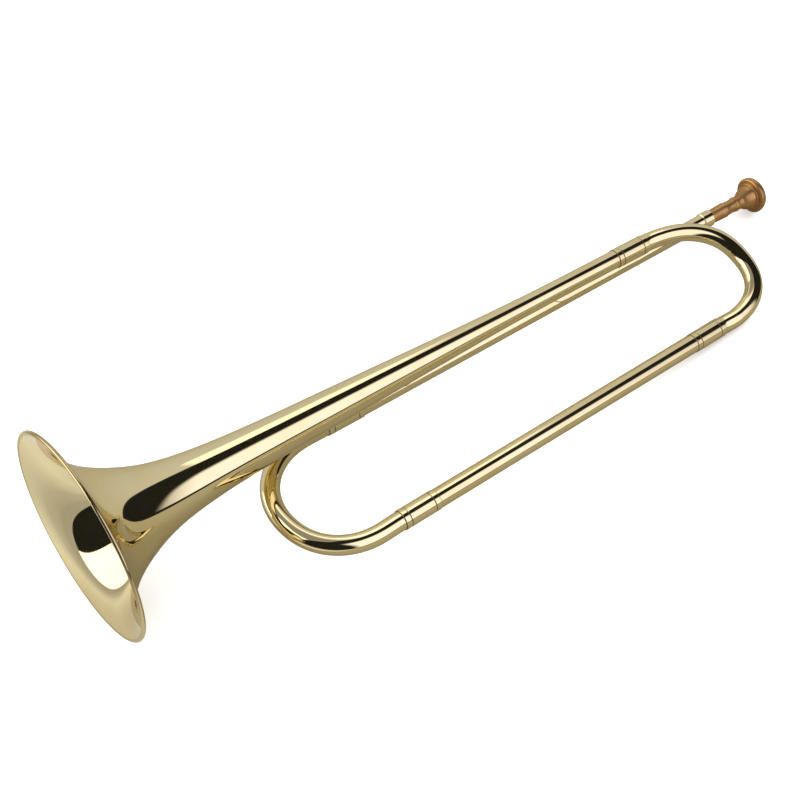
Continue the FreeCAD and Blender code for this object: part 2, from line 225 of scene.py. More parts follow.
def frame_for(axis):
    axis = unit(axis)
    ref = vec(0, 0, 1) if abs(axis[2]) < 0.9 else vec(0, 1, 0)
    e1 = unit(ref - axis * (ref @ axis))
    return axis, e1, np.cross(axis, e1)


def revolve(profile, origin, axis, seg):
    """Closed outline (s, r) turned about an axis, in horn axes. Points on the axis aren't needed: every piece is hollow."""
    a, e1, e2 = frame_for(axis)
    prof = np.asarray(profile, float)
    n = len(prof)
    th = np.arange(seg) * 2 * math.pi / seg
    ring = np.cos(th)[:, None] * e1 + np.sin(th)[:, None] * e2
    verts = (np.asarray(origin) + prof[:, 0, None, None] * a + prof[:, 1, None, None] * ring[None]).reshape(-1, 3)
    faces = []
    for i in range(n):
        j = (i + 1) % n
        for k in range(seg):
            l = (k + 1) % seg
            faces.append((i * seg + k, i * seg + l, j * seg + l, j * seg + k))
    return to_row(verts), faces


def sweep(points, tangents, outer, inner, seg):
    """Tube along dense points with its own wall, in horn axes, ends closed by rings."""
    pts, tan = np.asarray(points), np.asarray(tangents)
    n = len(pts)
    e = []
    a, e1, _ = frame_for(tan[0])
    e.append(e1)
    for i in range(1, n):
        v = e[-1] - tan[i] * (e[-1] @ tan[i])
        e.append(unit(v))
    e = np.array(e)
    f = np.cross(tan, e)
    th = np.arange(seg) * 2 * math.pi / seg
    def shell(r):
        r = np.broadcast_to(np.asarray(r, float), (n,))
        return (pts[:, None] + r[:, None, None] * (np.cos(th)[None, :, None] * e[:, None] + np.sin(th)[None, :, None] * f[:, None])).reshape(-1, 3)
    verts = np.vstack([shell(outer), shell(inner)])
    faces, half = [], n * seg
    for i in range(n - 1):
        for k in range(seg):
            l = (k + 1) % seg
            faces.append((i * seg + k, i * seg + l, (i + 1) * seg + l, (i + 1) * seg + k))
            faces.append((half + i * seg + k, half + (i + 1) * seg + k, half + (i + 1) * seg + l, half + i * seg + l))
    for i in (0, n - 1):
        for k in range(seg):
            l = (k + 1) % seg
            faces.append((i * seg + k, half + i * seg + k, half + i * seg + l, i * seg + l))
    return to_row(verts), faces


# ------------------------------------------------------------------------ bell
def bell_profile():
    bead = RIM_WIRE_R + BELL_WALL
    cx, cr = bead - RIM_LAND, BELL_R - bead
    slope = unit([-0.275, 0.961])
    front = np.array([-slope[1], slope[0]])
    end = np.array([cx, cr]) + front * RIM_WIRE_R
    base = [(BELL_END_X, BELL_END_R)] + list(reversed(BELL_PROFILE)) + [tuple(end)]
    c = Spline(base, start=(-1, 0), end=slope)
    outer = c.even(420, 2.0)
    d = np.gradient(outer, axis=0)
    nrm = np.c_[-d[:, 1], d[:, 0]] / np.linalg.norm(d, axis=1)[:, None]
    inner = outer + nrm * BELL_WALL            # towards the air side
    if inner[0][1] > outer[0][1]:
        inner = outer - nrm * BELL_WALL
    ang0 = math.atan2(inner[-1][1] - cr, inner[-1][0] - cx)
    return outer, inner, (cx, cr), bead, ang0


bell_outer, bell_inner, (RCX, RCR), BEAD, ANG0 = bell_profile()


def bell_outline():
    """Closed outline of bell and rolled edge: air side forward, round the bead, tucked back edge, outside to the small end."""
    pts = [tuple(p) for p in bell_inner[:-2]]
    # the air side is tangent to the bead at ANG0; going round over the front and outer edge to the back
    a = ANG0 % (2 * math.pi)                   # about pi + a little: the front
    stop = math.radians(-58.0)
    span = a - stop
    ring = []
    for k in range(1, 61):
        t = a - span * k / 60.0
        x, r = RCX + BEAD * math.cos(t), RCR + BEAD * math.sin(t)
        ring.append((max(x, 0.0), r))
    pts += ring
    # the tucked edge: a fine step onto the sheet's outside
    ex, er = ring[-1]
    o = bell_outer[::-1]
    # first outer point clear of the bead
    j = next(i for i in range(len(o)) if math.hypot(o[i][0] - RCX, o[i][1] - RCR) > BEAD + 0.10)
    for t in (0.25, 0.5, 0.75):
        pts.append(tuple((1 - t)**2 * np.array((ex, er)) + 2 * t * (1 - t) * np.array(((ex + o[j][0]) / 2 - 0.12, (er + o[j][1]) / 2)) + t * t * np.array(o[j])))
    pts += [tuple(p) for p in o[j:]]
    # small end: hold loops on both sides of the edge
    x0, r0 = pts[-1]
    pts[-1] = (x0 - 0.15, r0)
    pts += soften_end((x0, r0), (x0, bell_inner[0][1]))
    return pts


def soften_end(p, q):
    c = 0.08
    return [(p[0] - c, p[1]), (p[0] - c * 0.3, p[1] - c * 0.3), (p[0], p[1] - c), (q[0], q[1] + c), (q[0] - c * 0.3, q[1] + c * 0.3), (q[0] - c, q[1])]


v, f = revolve(bell_outline(), (0, 0, 0), (1, 0, 0), 288)
bell = mesh_from("bell_spun", v, f, node="bell")

# ----------------------------------------------------------------- straight bits
low_dir, lead_dir, xdir = unit(LOW_B - LOW_A), unit(LEAD_B - LEAD_A), vec(1, 0, 0)
j_front_low = at_x(LOW_A, LOW_B, FRONT_LOW_FER_X)
j_rear_low = at_x(LOW_A, LOW_B, REAR_LOW_FER_X)
j_bell = vec(BELL_FER_X, 0, 0)
j_lead = at_x(LEAD_A, LEAD_B, LEAD_FER_X)


def densify(profile, step=4.0):
    """Adds rings along the long straight runs, so that a mirror finish bends evenly."""
    out = []
    n = len(profile)
    for i in range(n):
        p, q = np.array(profile[i]), np.array(profile[(i + 1) % n])
        out.append(tuple(p))
        L = np.linalg.norm(q - p)
        k = int(L // step)
        for m in range(1, k + 1):
            out.append(tuple(p + (q - p) * m / (k + 1)))
    return out


n_low = np.linalg.norm(j_rear_low - j_front_low)
prof = soften([(0, LOW_R - WALL), (0, LOW_R), (n_low, LOW_R), (n_low, LOW_R - WALL)], 0.08)
v, f = revolve(densify(prof), j_front_low, low_dir, 144)
lower_tube = mesh_from("lower_tube_drawn", v, f, node="lower_tube")


def ferrule_profile(length, r, bore_left, bore_right):
    h = length / 2.0
    c, g, xg, d = 0.12, FER_GROOVE_W / 2.0 + 0.12, length / 2.0 - FER_BAND, FER_GROOVE_D - 0.06
    top = [(-h, bore_left, 0.04), (-h, r - c, 0.05), (-h + c, r, 0.08),
           (-xg - g, r, 0.05), (-xg - g * 0.35, r - d, 0.06), (-xg + g * 0.35, r - d, 0.06), (-xg + g, r, 0.05),
           (xg - g, r, 0.05), (xg - g * 0.35, r - d, 0.06), (xg + g * 0.35, r - d, 0.06), (xg + g, r, 0.05),
           (h - c, r, 0.08), (h, r - c, 0.05), (h, bore_right, 0.04)]
    if abs(bore_left - bore_right) > 1e-6:
        top += [(0, bore_right, 0.0), (0, bore_left, 0.0)]
    return densify(soften([(a, b) for a, b, _ in top], [w for _, _, w in top], n=3, hold=0.06), 3.0)


def seam(name, centre, axis, end, r_sleeve, r_tube, width):
    """Thin dark soldered seam in the corner between a sleeve's end and the tube; its darkness is also painted shade
    standing in for the shadow line at the sleeve's step.
    """
    step, k = r_sleeve - r_tube, math.copysign(1.0, end)
    prof = [(end - k * 0.03, r_tube - 0.04), (end - k * 0.03, r_tube + 0.80 * step), (end + k * 0.04, r_tube + 0.74 * step), (end + k * 0.35 * width, r_tube + 0.26 * step),
            (end + k * 0.7 * width, r_tube + 0.07 * step + 0.01), (end + k * width, r_tube + 0.004), (end + k * width, r_tube - 0.04)]
    v, f = revolve(prof, centre, axis, 120)
    return mesh_from(name, v, f)


def ferrule(name, centre, axis, r, bl, br, node):
    r = r - SLEEVE_POLISH
    v, f = revolve(ferrule_profile(FER_LEN, r, bl, br), centre, axis, 144)
    # dark seams at both sleeve ends: solder colour plus painted shade of the step
    seam(name + "_seam_a", centre, axis, -FER_LEN / 2.0, r, bl - GAP, 0.50)
    seam(name + "_seam_b", centre, axis, FER_LEN / 2.0, r, br - GAP, 0.28)
    return mesh_from(name + "_turned", v, f, node=node)


SLEEVE_POLISH = 0.20      # the sleeves are polished down almost flush with the tubes


ferrule("lower_front_ferrule", j_front_low, low_dir, FER_R, BOW_R + GAP, LOW_R + GAP, "lower_front_ferrule")
ferrule("lower_rear_ferrule", j_rear_low, low_dir, FER_R, LOW_R + GAP, BOW_R + GAP, "lower_rear_ferrule")
ferrule("bell_ferrule", j_bell, xdir, FER_R, BELL_END_R + GAP, BOW_R + GAP, "bell_ferrule")
ferrule("leadpipe_ferrule", j_lead, lead_dir, LEAD_FER_R, BOW_R + GAP, LEAD_R0 + GAP, "leadpipe_ferrule")


# ------------------------------------------------------------------------ bows
def bow_points(a, b, ahead, depth, n, lean_y, lean_z, count=36):
    mid, half = (a + b) * 0.5, (a - b) * 0.5
    h = np.linalg.norm(half)
    bulge = ahead * (h * depth) + vec(0, lean_y * h, lean_z * h)
    out = []
    for i in range(count + 1):
        t = math.pi * i / count
        c, s = math.cos(t), math.sin(t)
        out.append(mid + half * math.copysign(abs(c) ** (2.0 / n), c) + bulge * abs(s) ** (2.0 / n))
    return out


def run(start, direction, length, count=6):
    return [start + direction * (length * i / count) for i in range(count + 1)]


straight = FER_LEN / 2.0 + 2.2
pts = bow_points(LOW_A, LEAD_A, vec(-1, 0, 0), FRONT_DEPTH, FRONT_N, FRONT_LEAN_Y, FRONT_LEAN_Z)
path = run(j_front_low, -low_dir, straight) + pts[2:-2] + run(j_lead, -lead_dir, straight)[::-1]


def bow(name, path, d0, d1, node):
    c = Spline(path, start=d0, end=d1)
    u = np.linspace(0, c.t[-1], int(c.t[-1] / 0.8))
    tan = c(u, 1)
    tan = tan / np.linalg.norm(tan, axis=1)[:, None]
    v, f = sweep(c(u), tan, BOW_R, BOW_R - WALL, 144)
    return mesh_from(name + "_drawn", v, f, node=node)


bow("front_bow", path, -low_dir, lead_dir, "front_bow")

pts = bow_points(LOW_B, vec(LOW_B[0], 0, 0), vec(1, 0, 0), REAR_DEPTH, REAR_N, REAR_LEAN_Y, REAR_LEAN_Z)
pts = [p for p in pts[2:-2] if p[0] > REAR_LOW_FER_X + straight + 8.0 or abs(p[1]) < 30]
path = run(j_rear_low, low_dir, straight) + pts + run(j_bell, xdir, straight)[::-1]
bow("rear_bow", path, low_dir, -xdir, "rear_bow")

# -------------------------------------------------------------------- leadpipe
lead_a, lead_t, lead_m = (at_x(LEAD_A, LEAD_B, x) for x in (LEAD_FER_X, LEAD_TAPER_END, LEAD_MOUTH_X))
n_t, n_m = np.linalg.norm(lead_t - lead_a), np.linalg.norm(lead_m - lead_a)
deep = MP_SHANK_IN + 1.0
r_in = MP_SHANK_R + MP_FIT - MP_TAPER * deep
prof = soften([(0, LEAD_R0 - WALL), (n_m - deep - 8.0, 4.35), (n_m - deep, 4.25), (n_m - deep, r_in),
               (n_m, MP_SHANK_R + MP_FIT), (n_m, LEAD_R1), (n_t, LEAD_R1), (13.6, LEAD_R0), (0, LEAD_R0)],
              [0.06, 0, 0.03, 0.03, 0.08, 0.08, 0.0, 0.0, 0.06])
v, f = revolve(densify(prof), lead_a, lead_m - lead_a, 144)
mesh_from("leadpipe_drawn", v, f, node="leadpipe")

c = 0.35
prof = soften([(-COLLAR_LEN, LEAD_R1 + GAP), (-COLLAR_LEN, COLLAR_R - c), (-COLLAR_LEN + c, COLLAR_R),
               (-c, COLLAR_R), (0.0, COLLAR_R - c), (0.0, LEAD_R1 + GAP)], [0.03, 0.12, 0.15, 0.15, 0.12, 0.03], n=4, hold=0.08)
v, f = revolve(densify(prof, 2.0), lead_m, lead_dir, 144)
mesh_from("receiver_collar_turned", v, f, node="receiver_collar")


# ------------------------------------------------------------------ mouthpiece
def mouthpiece_profile():
    s0, fr = -MP_SHANK_IN, 46.0
    r_end = MP_SHANK_R - MP_TAPER * MP_SHANK_IN
    o = []
    o += [(s0, r_end - 0.25), (s0 + 0.12, r_end - 0.09), (s0 + 0.25, r_end), (s0 + 0.5, r_end + 0.006)]
    o += [(s, MP_SHANK_R + MP_TAPER * s) for s in np.linspace(s0 + 2, -1, 12)]
    o += [(0.0, MP_SHANK_R), (1.5, MP_SHANK_R + 0.04)]
    o += [tuple(p) for p in Spline([(1.5, 5.01), (5.0, 5.13), (9.5, 5.36), (13.6, 5.46)]).even(14)[1:]]
    o += arc3((13.6, 5.46), (14.25, 5.42), (14.7, 5.22), 8)[1:]
    o += [tuple(p) for p in Spline([(14.7, 5.22), (16.6, 4.98), (19.6, 4.83), (22.6, 4.84)]).even(12)[1:]]
    o += [(22.66, 4.86), (22.73, 4.93), (22.8, 5.02)]
    o += arc3((22.8, 5.02), (24.6, 5.36), (26.4, 5.06), 12)[1:]
    o += [(26.47, 4.97), (26.56, 4.89), (26.7, 4.86)]
    o += arc3((26.7, 4.86), (27.4, 5.05), (28.1, 4.90), 8)[1:]
    o += [tuple(p) for p in Spline([(28.1, 4.90), (29.3, 5.25), (31.2, 6.35), (33.6, 7.55), (36.2, 8.35), (38.6, 8.75)]).even(24)[1:-1]]
    # stepped collar and the back of the rim, corners broken by a fine polish
    o += [(38.45, 8.735), (38.55, 8.76), (38.6, 8.83), (38.6, 8.95), (38.6, 9.4), (38.61, 9.52)]
    o += arc3((38.6, 9.55), (39.1, 9.95), (39.75, 9.95), 8)[1:]
    o += [(39.86, 9.98), (39.93, 10.04), (39.95, 10.12), (39.95, 10.3), (39.95, 11.0), (39.95, 11.3)]
    o += arc3((39.95, 11.45), (40.55, 12.55), (42.0, MP_RIM_R), 14)
    o += arc3((42.0, MP_RIM_R), (44.6, 12.2), (fr, 10.9), 14)[1:]
    o += arc3((fr, 10.9), (fr + 0.25, 10.1), (fr - 0.1, 9.3), 10)[1:]
    o += arc3((fr - 0.1, 9.3), (fr - 0.85, 8.62), (fr - 2.0, MP_CUP_R), 10)[1:]
    o += [tuple(p) for p in Spline([(fr - 2.0, MP_CUP_R), (fr - 6.0, 7.95), (fr - 9.5, 6.7), (fr - 12.4, 4.4), (fr - 14.2, 2.6), (fr - 15.6, MP_THROAT_R)]).even(30)[1:]]
    o += [(fr - 16.2, MP_THROAT_R), (fr - 20.0, MP_THROAT_R)]
    o += [(s, 3.70 + (MP_THROAT_R - 3.70) * (s - s0) / (fr - 20.0 - s0)) for s in np.linspace(fr - 22, s0 + 0.3, 14)]
    o += [(s0 + 0.06, 3.70), (s0, 3.78)]
    return o


v, f = revolve(mouthpiece_profile(), lead_m, lead_dir, 192)
mouthpiece = mesh_from("mouthpiece_turned", v, f, node="mouthpiece", body="mouthpiece")

# ------------------------------------------------------------------- materials
BELL_AXIS = unit(LAY @ vec(1, 0, 0))
BELL_MOUTH = to_row(vec(0, 0, 0))
LEAD_AXIS_ROW = unit(LAY @ lead_dir)
LEAD_MOUTH_ROW = to_row(lead_m)
LOW_AXIS_ROW = unit(LAY @ low_dir)
LOW_MID_ROW = to_row(j_front_low)


class Net:
    """Small helper: builds shader maths on a node tree from expressions."""

    def __init__(self, tree):
        self.t = tree

    def node(self, kind, **props):
        n = self.t.nodes.new(kind)
        for k, v in props.items():
            setattr(n, k, v)
        return n

    def put(self, sock, v):
        if isinstance(v, bpy.types.NodeSocket):
            self.t.links.new(v, sock)
        elif v is not None:
            if isinstance(v, (tuple, list, np.ndarray)) and len(v) == 3 and sock.type == "RGBA":
                v = (*v, 1.0)
            sock.default_value = v

    def m(self, op, a, b=None, c=None, clamp=False):
        n = self.node("ShaderNodeMath", operation=op, use_clamp=clamp)
        for i, v in enumerate((a, b, c)):
            if v is not None:
                self.put(n.inputs[i], v)
        return n.outputs[0]

    def add(self, a, b): return self.m("ADD", a, b)
    def sub(self, a, b): return self.m("SUBTRACT", a, b)
    def mul(self, a, b): return self.m("MULTIPLY", a, b)
    def mx(self, a, b): return self.m("MAXIMUM", a, b)
    def mn(self, a, b): return self.m("MINIMUM", a, b)

    def vm(self, op, a, b=None, c=None, out=0):
        n = self.node("ShaderNodeVectorMath", operation=op)
        for i, v in enumerate((a, b, c)):
            if v is not None:
                self.put(n.inputs[i], tuple(v) if isinstance(v, np.ndarray) else v)
        return n.outputs[out]

    def dot(self, a, b): return self.vm("DOT_PRODUCT", a, b, out=1)

    def step(self, v, lo, hi, to0=0.0, to1=1.0):
        """Smooth step of v from lo to hi."""
        n = self.node("ShaderNodeMapRange", interpolation_type="SMOOTHSTEP", clamp=True)
        for i, x in enumerate((v, lo, hi, to0, to1)):
            self.put(n.inputs[i], x)
        return n.outputs[0]

    def lin(self, v, lo, hi, to0=0.0, to1=1.0):
        n = self.node("ShaderNodeMapRange", interpolation_type="LINEAR", clamp=True)
        for i, x in enumerate((v, lo, hi, to0, to1)):
            self.put(n.inputs[i], x)
        return n.outputs[0]

    def mix(self, f, a, b):
        n = self.node("ShaderNodeMix", data_type="RGBA")
        self.put(n.inputs[0], f)
        self.put(n.inputs[6], a)
        self.put(n.inputs[7], b)
        return n.outputs[2]

    def mixf(self, f, a, b):
        n = self.node("ShaderNodeMix", data_type="FLOAT")
        self.put(n.inputs[0], f)
        self.put(n.inputs[2], a)
        self.put(n.inputs[3], b)
        return n.outputs[0]

    def noise(self, vector, scale, detail=3.0, rough=0.55, dist=0.0):
        n = self.node("ShaderNodeTexNoise")
        self.put(n.inputs["Vector"], vector)
        self.put(n.inputs["Scale"], scale)
        self.put(n.inputs["Detail"], detail)
        self.put(n.inputs["Roughness"], rough)
        self.put(n.inputs["Distortion"], dist)
        return n.outputs["Fac"]

    def noise1(self, w, scale, detail=2.0):
        n = self.node("ShaderNodeTexNoise", noise_dimensions="1D")
        self.put(n.inputs["W"], w)
        self.put(n.inputs["Scale"], scale)
        self.put(n.inputs["Detail"], detail)
        return n.outputs["Fac"]

    def bump(self, height, strength, distance, normal=None):
        n = self.node("ShaderNodeBump")
        self.put(n.inputs["Height"], height)
        self.put(n.inputs["Strength"], strength)
        self.put(n.inputs["Distance"], distance)
        if normal is not None:
            self.put(n.inputs["Normal"], normal)
        return n.outputs[0]


def metal(name, build):
    m = bpy.data.materials.new(name)
    m.use_nodes = True
    t = m.node_tree
    t.nodes.clear()
    net = Net(t)
    out = net.node("ShaderNodeOutputMaterial")
    b = net.node("ShaderNodeBsdfPrincipled")
    t.links.new(b.outputs[0], out.inputs[0])
    b.inputs["Metallic"].default_value = 1.0
    build(net, b)
    return m


def brass_build(axis, origin, tint=(0.905, 0.770, 0.435), deep=(0.85, 0.665, 0.315), rough=0.045, spun=False, turned=False, wave=1.0,
                crease=None, bead=None):
    """Polished, lacquered brass drawn along (or turned about) an axis. crease: radius (m) under which the turned
    grooves and sleeve ends are painted dark and dull, painted shade in the grooves and at the steps. bead: radius from
    which the rolled edge is painted darker and duller, painted shade that tones down the rim's bright reflection.
    """

    def build(net, b):
        g = net.node("ShaderNodeNewGeometry")
        P = net.node("ShaderNodeTexCoord").outputs["Object"]
        rel = net.vm("SUBTRACT", P, tuple(origin))
        s = net.dot(rel, tuple(axis))                                  # along the axis, m
        axial = net.vm("SCALE", tuple(axis), None)
        sc = axial.node
        net.put(sc.inputs["Scale"], s)
        radial = net.vm("SUBTRACT", rel, axial)
        r = net.vm("LENGTH", radial, out=1)
        # colour: the lacquer's uneven tint, slightly deeper in patches
        patch = net.noise(P, 22.0, 4.0, 0.6)
        cloud = net.noise(P, 75.0, 3.0, 0.5)
        f = net.step(net.add(net.mul(patch, 0.7), net.mul(cloud, 0.3)), 0.40, 0.68)
        col = net.mix(net.mul(f, 0.55), tint, deep)
        spots = net.noise(P, 900.0, 2.0, 0.5)
        col = net.mix(net.mul(net.step(spots, 0.70, 0.78), 0.35), col, (0.62, 0.45, 0.20))
        # painted highlight: sharp edges and rims are painted brighter
        edge = net.step(g.outputs["Pointiness"], 0.53, 0.60)
        col = net.mix(net.mul(edge, 0.35), col, (0.97, 0.86, 0.56))
        dull = 0.0
        # painted shade: the turned grooves and the sleeves' chamfered ends are darkened and dulled
        if crease:
            dull = net.step(net.add(r, net.mul(net.sub(spots, 0.5), 0.00010)), crease - 0.00003, crease - 0.00010)
            col = net.mix(net.mul(dull, 0.92), col, (0.16, 0.105, 0.045))
        # painted shade: the rolled rim is darkened and dulled to tone down its bright reflection
        if bead:
            dull = net.mul(net.step(r, bead, bead + 0.0004), net.step(s, 0.0034, 0.0028))
            col = net.mix(net.mul(dull, 0.75), col, (0.50, 0.375, 0.175))
        net.put(b.inputs["Base Color"], col)
        # roughness: polish swirls and fine hairlines
        if spun or turned:
            lines = net.noise1(net.add(s, net.mul(r, 0.6)), 5200.0 if turned else 2600.0, 3.0)
        else:
            squeezed = net.vm("ADD", radial, None)
            sc2 = net.vm("SCALE", tuple(axis), None)
            net.put(sc2.node.inputs["Scale"], net.mul(s, 0.02))
            net.put(squeezed.node.inputs[1], sc2)
            lines = net.noise(squeezed, 3200.0, 2.0, 0.6)
        swirl = net.noise(P, 140.0, 5.0, 0.65, 0.6)
        rg = net.add(rough, net.add(net.mul(net.sub(swirl, 0.5), 0.030), net.mul(net.sub(lines, 0.5), 0.035)))
        rg = net.add(rg, net.mul(edge, 0.06))
        if crease:
            rg = net.add(rg, net.mul(dull, 0.34))
        if bead:
            rg = net.add(rg, net.mul(dull, 0.10))
        net.put(b.inputs["Roughness"], net.mx(rg, 0.015))
        # relief: slow hand-burnished waves, then hairlines
        slow = net.noise(P, 38.0, 1.0, 0.4)
        n1 = net.bump(slow, 1.0, 0.00011 * wave)
        n2 = net.bump(lines, 1.0, 0.0000012 if not turned else 0.0000022, n1)
        net.put(b.inputs["Normal"], n2)
        b.inputs["Coat Weight"].default_value = 0.18
        b.inputs["Coat Roughness"].default_value = 0.02
        b.inputs["Coat IOR"].default_value = 1.48
        b.inputs["Coat Tint"].default_value = (1.0, 0.985, 0.93, 1.0)
        b.inputs["Specular Tint"].default_value = (0.80, 0.74, 0.60, 1.0)
    return build


def bronze_build(axis, origin):
    """Raw, satin, lathe-turned bronze."""

    def build(net, b):
        g = net.node("ShaderNodeNewGeometry")
        P = net.node("ShaderNodeTexCoord").outputs["Object"]
        rel = net.vm("SUBTRACT", P, tuple(origin))
        s = net.dot(rel, tuple(axis))
        axial = net.vm("SCALE", tuple(axis), None)
        net.put(axial.node.inputs["Scale"], s)
        r = net.vm("LENGTH", net.vm("SUBTRACT", rel, axial), out=1)
        run_along = net.add(s, net.mul(r, 0.8))
        cut = net.noise1(run_along, 4200.0, 2.0)
        coarse = net.noise1(run_along, 900.0, 2.0)
        patch = net.noise(P, 160.0, 4.0, 0.6)
        stain = net.noise(P, 60.0, 3.0, 0.5, 0.8)
        col = net.mix(net.step(patch, 0.35, 0.70), (0.52, 0.295, 0.112), (0.43, 0.225, 0.082))
        col = net.mix(net.mul(net.step(stain, 0.50, 0.72), 0.55), col, (0.31, 0.150, 0.058))
        col = net.mix(net.mul(net.step(cut, 0.45, 0.75), 0.30), col, (0.62, 0.39, 0.17))
        # painted highlight: sharp edges are painted brighter
        edge = net.step(g.outputs["Pointiness"], 0.52, 0.58)
        col = net.mix(net.mul(edge, 0.6), col, (0.72, 0.48, 0.22))
        net.put(b.inputs["Base Color"], col)
        rg = net.add(0.37, net.add(net.mul(net.sub(patch, 0.5), 0.16), net.mul(net.sub(cut, 0.5), 0.12)))
        net.put(b.inputs["Roughness"], net.mx(rg, 0.14))
        n1 = net.bump(coarse, 1.0, 0.000012)
        n2 = net.bump(cut, 1.0, 0.0000045, n1)
        n3 = net.bump(net.noise(P, 2400.0, 3.0, 0.6), 1.0, 0.0000040, n2)
        net.put(b.inputs["Normal"], n3)
        b.inputs["Specular Tint"].default_value = (1.0, 0.86, 0.66, 1.0)
    return build


def seam_and_step_shade_build(net, b):
    """Soldered seam, dark: solder colour and painted shade at the sleeve's step."""
    P = net.node("ShaderNodeTexCoord").outputs["Object"]
    n = net.noise(P, 900.0, 4.0, 0.6)
    m = net.noise(P, 160.0, 3.0, 0.6)
    col = net.mix(n, (0.13, 0.088, 0.040), (0.24, 0.165, 0.075))
    net.put(b.inputs["Base Color"], net.mix(net.mul(net.step(m, 0.55, 0.70), 0.6), col, (0.40, 0.31, 0.16)))
    net.put(b.inputs["Roughness"], net.lin(n, 0.3, 0.7, 0.30, 0.48))
    net.put(b.inputs["Normal"], net.bump(n, 1.0, 0.00002))


def wire_build(net, b):
    """Drawn steel wire."""
    P = net.node("ShaderNodeTexCoord").outputs["Object"]
    n = net.noise(P, 1500.0, 4.0, 0.6)
    net.put(b.inputs["Base Color"], net.mix(n, (0.40, 0.40, 0.42), (0.56, 0.56, 0.58)))
    net.put(b.inputs["Roughness"], net.lin(n, 0.3, 0.7, 0.25, 0.4))
    net.put(b.inputs["Normal"], net.bump(n, 1.0, 0.000004))


M = {
    "bell": metal("brass_bell", brass_build(BELL_AXIS, BELL_MOUTH, spun=True, bead=(BELL_R - 2.9) / 1000.0)),
    "tube": metal("brass_tube", brass_build(LOW_AXIS_ROW, LOW_MID_ROW, rough=0.045)),
    "lead": metal("brass_leadpipe", brass_build(LEAD_AXIS_ROW, LEAD_MOUTH_ROW, rough=0.045)),
    "fer_low": metal("brass_ferrule_low", brass_build(LOW_AXIS_ROW, LOW_MID_ROW, rough=0.055, turned=True, wave=0.5, crease=(FER_R - SLEEVE_POLISH) / 1000.0)),
    "fer_bell": metal("brass_ferrule_bell", brass_build(BELL_AXIS, BELL_MOUTH, rough=0.055, turned=True, wave=0.5, crease=(FER_R - SLEEVE_POLISH) / 1000.0)),
    "fer_lead": metal("brass_ferrule_lead", brass_build(LEAD_AXIS_ROW, LEAD_MOUTH_ROW, rough=0.055, turned=True, wave=0.5, crease=(LEAD_FER_R - SLEEVE_POLISH) / 1000.0)),
    "collar": metal("brass_collar", brass_build(LEAD_AXIS_ROW, LEAD_MOUTH_ROW, rough=0.055, turned=True, wave=0.5)),
    "bronze": metal("raw_bronze", bronze_build(LEAD_AXIS_ROW, LEAD_MOUTH_ROW)),
    # dark seams: solder colour plus painted shade at the sleeve steps
    "solder": metal("dark_seam_and_step_shade", seam_and_step_shade_build),
    "wire": metal("steel_wire", wire_build),
}
USES = {"bell": "bell", "lower_tube": "tube", "front_bow": "tube", "rear_bow": "tube", "leadpipe": "lead",
        "lower_front_ferrule": "fer_low", "lower_rear_ferrule": "fer_low", "bell_ferrule": "fer_bell",
        "leadpipe_ferrule": "fer_lead", "receiver_collar": "collar", "mouthpiece": "bronze",
        "bell_rim_wire": "wire", "front_stay": "collar", "rear_stay": "collar"}
for o in MADE:
    o.data.materials.append(M[USES.get(o["made_as"], "solder")])
for n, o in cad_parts.items():
    if not o.hide_render:
        o.data.materials.clear()
        o.data.materials.append(M[USES[n]])

# ---------------------------------------------------------------------- camera
cam_data = bpy.data.cameras.new("camera")
cam = bpy.data.objects.new("camera", cam_data)
bpy.context.scene.collection.objects.link(cam)
right = Vector((0.7705454, -0.63707696, -0.01981727))
up = Vector((0.50492168, 0.59113816, 0.62897518))
fwd = Vector((0.38899085, 0.4946601, -0.77717276))
CAM_AT = Vector((-0.412626, -0.543919, 0.729832))
cam.matrix_world = Matrix(((right.x, up.x, -fwd.x, CAM_AT.x), (right.y, up.y, -fwd.y, CAM_AT.y), (right.z, up.z, -fwd.z, CAM_AT.z), (0, 0, 0, 1)))
cam_data.sensor_width = 36.0
cam_data.lens = 36.0 * 1519.72 / 800.0
cam_data.clip_start, cam_data.clip_end = 0.02, 50.0
bpy.context.scene.camera = cam
# The main view is a rising-front (shifted) one. The shift belongs to that camera
# place only, so it eases to nothing when the camera is moved round the object.
for prop, value in (("shift_x", (400 - 495.51) / 800.0), ("shift_y", (506.81 - 400) / 800.0)):
    d = cam_data.driver_add(prop).driver
    d.type = "SCRIPTED"
    for i, axis_name in enumerate("XYZ"):
        var = d.variables.new()
        var.name = "p" + axis_name.lower()
        var.type = "TRANSFORMS"
        var.targets[0].id = cam
        var.targets[0].transform_type = "LOC_" + axis_name
        var.targets[0].transform_space = "WORLD_SPACE"
    d.expression = "%.6f if abs(px - %.6f) + abs(py - %.6f) + abs(pz - %.6f) < 0.002 else 0.0" % (value, CAM_AT.x, CAM_AT.y, CAM_AT.z)

# ----------------------------------------------------------------------- stage
bm = bmesh.new()
bmesh.ops.create_grid(bm, x_segments=4, y_segments=4, size=1.0)
me = bpy.data.meshes.new("floor")
bm.to_mesh(me)
bm.free()
floor = bpy.data.objects.new("floor", me)
bpy.context.scene.collection.objects.link(floor)
floor.scale = (1.35, 1.15, 1.0)
floor.location = (0.10, 0.50, -0.0016)
fm = bpy.data.materials.new("paper")
fm.use_nodes = True
t = fm.node_tree
t.nodes.clear()
net = Net(t)
lp = net.node("ShaderNodeLightPath")
out = net.node("ShaderNodeOutputMaterial")
dif = net.node("ShaderNodeBsdfDiffuse")
P = net.node("ShaderNodeTexCoord").outputs["Object"]
grain = net.noise(P, 300.0, 4.0, 0.6)
seen = net.mix(grain, (0.93, 0.93, 0.925), (0.95, 0.95, 0.945))
fs = net.node("ShaderNodeSeparateXYZ")
t.links.new(P, fs.inputs[0])
wx, wy = net.add(net.mul(fs.outputs[0], 1.35), 0.10), net.add(net.mul(fs.outputs[1], 1.15), 0.50)
